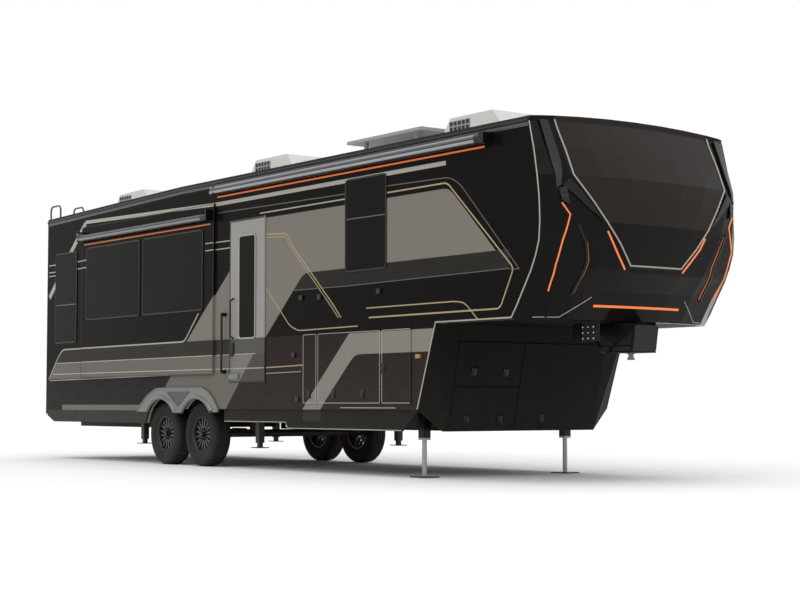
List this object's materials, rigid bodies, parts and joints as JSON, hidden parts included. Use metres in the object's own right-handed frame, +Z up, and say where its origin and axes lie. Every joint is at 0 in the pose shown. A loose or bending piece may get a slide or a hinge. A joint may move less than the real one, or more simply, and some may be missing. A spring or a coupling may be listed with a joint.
{
  "type": "fifth wheel trailer",
  "caption": "Fifth wheel travel trailer with raised front deck, moulded front cap, slide-out rooms, tandem axles, storage hatches, landing legs and a kingpin hitch.",
  "frame": {"origin": "on the ground below the middle of the trailer's box", "axes": "+X towards the towing end, +Y towards the road side, +Z up"},
  "size_m": [10.84, 2.81, 3.79],
  "materials": {
    "gelcoat_dark": "deep gloss",
    "cap_dark": "gloss metallic",
    "roof_membrane": "matt membrane",
    "frame_black": "satin black",
    "floor_board": "sealed board",
    "front_black": "satin",
    "bare_steel": "machined",
    "dark_glass": "dark tint",
    "tyre": "rubber",
    "alloy": "machined and black",
    "silver_trim": "satin grey",
    "door_grey": "gloss",
    "awning_black": "satin black",
    "unit_white": "moulded",
    "lamp_lens": "clear lens",
    "ladder_alloy": "anodised"
  },
  "bodies": {
    "trailer": {"chassis_frame": "frame_black", "underbelly_tray": "front_black", "main_floor": "floor_board", "storage_floor": "floor_board", "front_deck": "front_black", "bulkhead": "floor_board", "side_wall_curb": "gelcoat_dark", "side_wall_road": "gelcoat_dark", "rear_wall": "gelcoat_dark", "front_wall": "front_black", "roof": "roof_membrane", "front_cap": "cap_dark", "axle_front": "frame_black", "axle_rear": "frame_black", "suspension": "frame_black", "fender_curb": "silver_trim", "fender_road": "silver_trim", "landing_legs": "frame_black", "levelling_jacks": "frame_black", "pin_box": "frame_black", "kingpin": "bare_steel", "grab_handle": "frame_black", "window_glass": "dark_glass", "main_awning": "awning_black", "air_conditioners": "unit_white", "roof_fittings": "frame_black", "ladder": "ladder_alloy", "lamps": "lamp_lens"},
    "wheel_curb_front": {"tyre_curb_front": "tyre", "rim_curb_front": "alloy"},
    "wheel_curb_rear": {"tyre_curb_rear": "tyre", "rim_curb_rear": "alloy"},
    "wheel_road_front": {"tyre_road_front": "tyre", "rim_road_front": "alloy"},
    "wheel_road_rear": {"tyre_road_rear": "tyre", "rim_road_rear": "alloy"},
    "slide_room_curb": {"slide_out_curb": "gelcoat_dark", "slide_glass_curb": "dark_glass", "slide_awning_curb": "awning_black"},
    "slide_room_road": {"slide_out_road": "gelcoat_dark", "slide_glass_road": "dark_glass", "slide_awning_road": "awning_black"},
    "door": {"entry_door": "door_grey", "entry_door_glass": "dark_glass"},
    "hatch_a": {"hatch_curb_a": "gelcoat_dark"},
    "hatch_b": {"hatch_curb_b": "gelcoat_dark"},
    "hatch_c": {"hatch_curb_c": "gelcoat_dark"},
    "hatch_d": {"hatch_road": "gelcoat_dark"},
    "front_hatch_a": {"front_hatch_upper": "front_black"},
    "front_hatch_b": {"front_hatch_lower": "front_black"},
    "front_hatch_c": {"front_hatch_road": "front_black"}
  },
  "joints": [
    {"name": "wheel_curb_front_spin", "type": "hinge", "parent": "trailer", "child": "wheel_curb_front", "pos_m": [-1.08, -1.138, 0.382], "axis": [0, 1, 0], "continuous": true},
    {"name": "wheel_curb_rear_spin", "type": "hinge", "parent": "trailer", "child": "wheel_curb_rear", "pos_m": [-1.968, -1.138, 0.382], "axis": [0, 1, 0], "continuous": true},
    {"name": "wheel_road_front_spin", "type": "hinge", "parent": "trailer", "child": "wheel_road_front", "pos_m": [-1.08, 1.138, 0.382], "axis": [0, 1, 0], "continuous": true},
    {"name": "wheel_road_rear_spin", "type": "hinge", "parent": "trailer", "child": "wheel_road_rear", "pos_m": [-1.968, 1.138, 0.382], "axis": [0, 1, 0], "continuous": true},
    {"name": "slide_curb", "type": "slide", "parent": "trailer", "child": "slide_room_curb", "axis": [0, -1, 0], "range_m": [0, 0.85]},
    {"name": "slide_road", "type": "slide", "parent": "trailer", "child": "slide_room_road", "axis": [0, 1, 0], "range_m": [0, 0.85]},
    {"name": "entry_door_swing", "type": "hinge", "parent": "trailer", "child": "door", "pos_m": [0.44, -1.2923, 1.9], "axis": [0, 0, 1], "range_deg": [0, 155]},
    {"name": "hatch_a_lift", "type": "hinge", "parent": "trailer", "child": "hatch_a", "pos_m": [1.354, -1.2923, 1.51], "axis": [-1, 0, 0], "range_deg": [0, 100]},
    {"name": "hatch_b_lift", "type": "hinge", "parent": "trailer", "child": "hatch_b", "pos_m": [2.087, -1.2923, 1.51], "axis": [-1, 0, 0], "range_deg": [0, 100]},
    {"name": "hatch_c_swing", "type": "hinge", "parent": "trailer", "child": "hatch_c", "pos_m": [3.19, -1.2923, 1.128], "axis": [0, 0, 1], "range_deg": [0, 150]},
    {"name": "hatch_road_lift", "type": "hinge", "parent": "trailer", "child": "hatch_d", "pos_m": [2.087, 1.2923, 1.51], "axis": [1, 0, 0], "range_deg": [0, 100]},
    {"name": "front_hatch_upper_lift", "type": "hinge", "parent": "trailer", "child": "front_hatch_a", "pos_m": [3.58409, 0, 1.36266], "axis": [0, -1, 0], "range_deg": [0, 90]},
    {"name": "front_hatch_lower_lift", "type": "hinge", "parent": "trailer", "child": "front_hatch_b", "pos_m": [3.48658, 0, 0.91311], "axis": [0, -1, 0], "range_deg": [0, 90]},
    {"name": "front_hatch_road_lift", "type": "hinge", "parent": "trailer", "child": "front_hatch_c", "pos_m": [3.58409, 0, 1.36266], "axis": [0, -1, 0], "range_deg": [0, 90]}
  ]
}
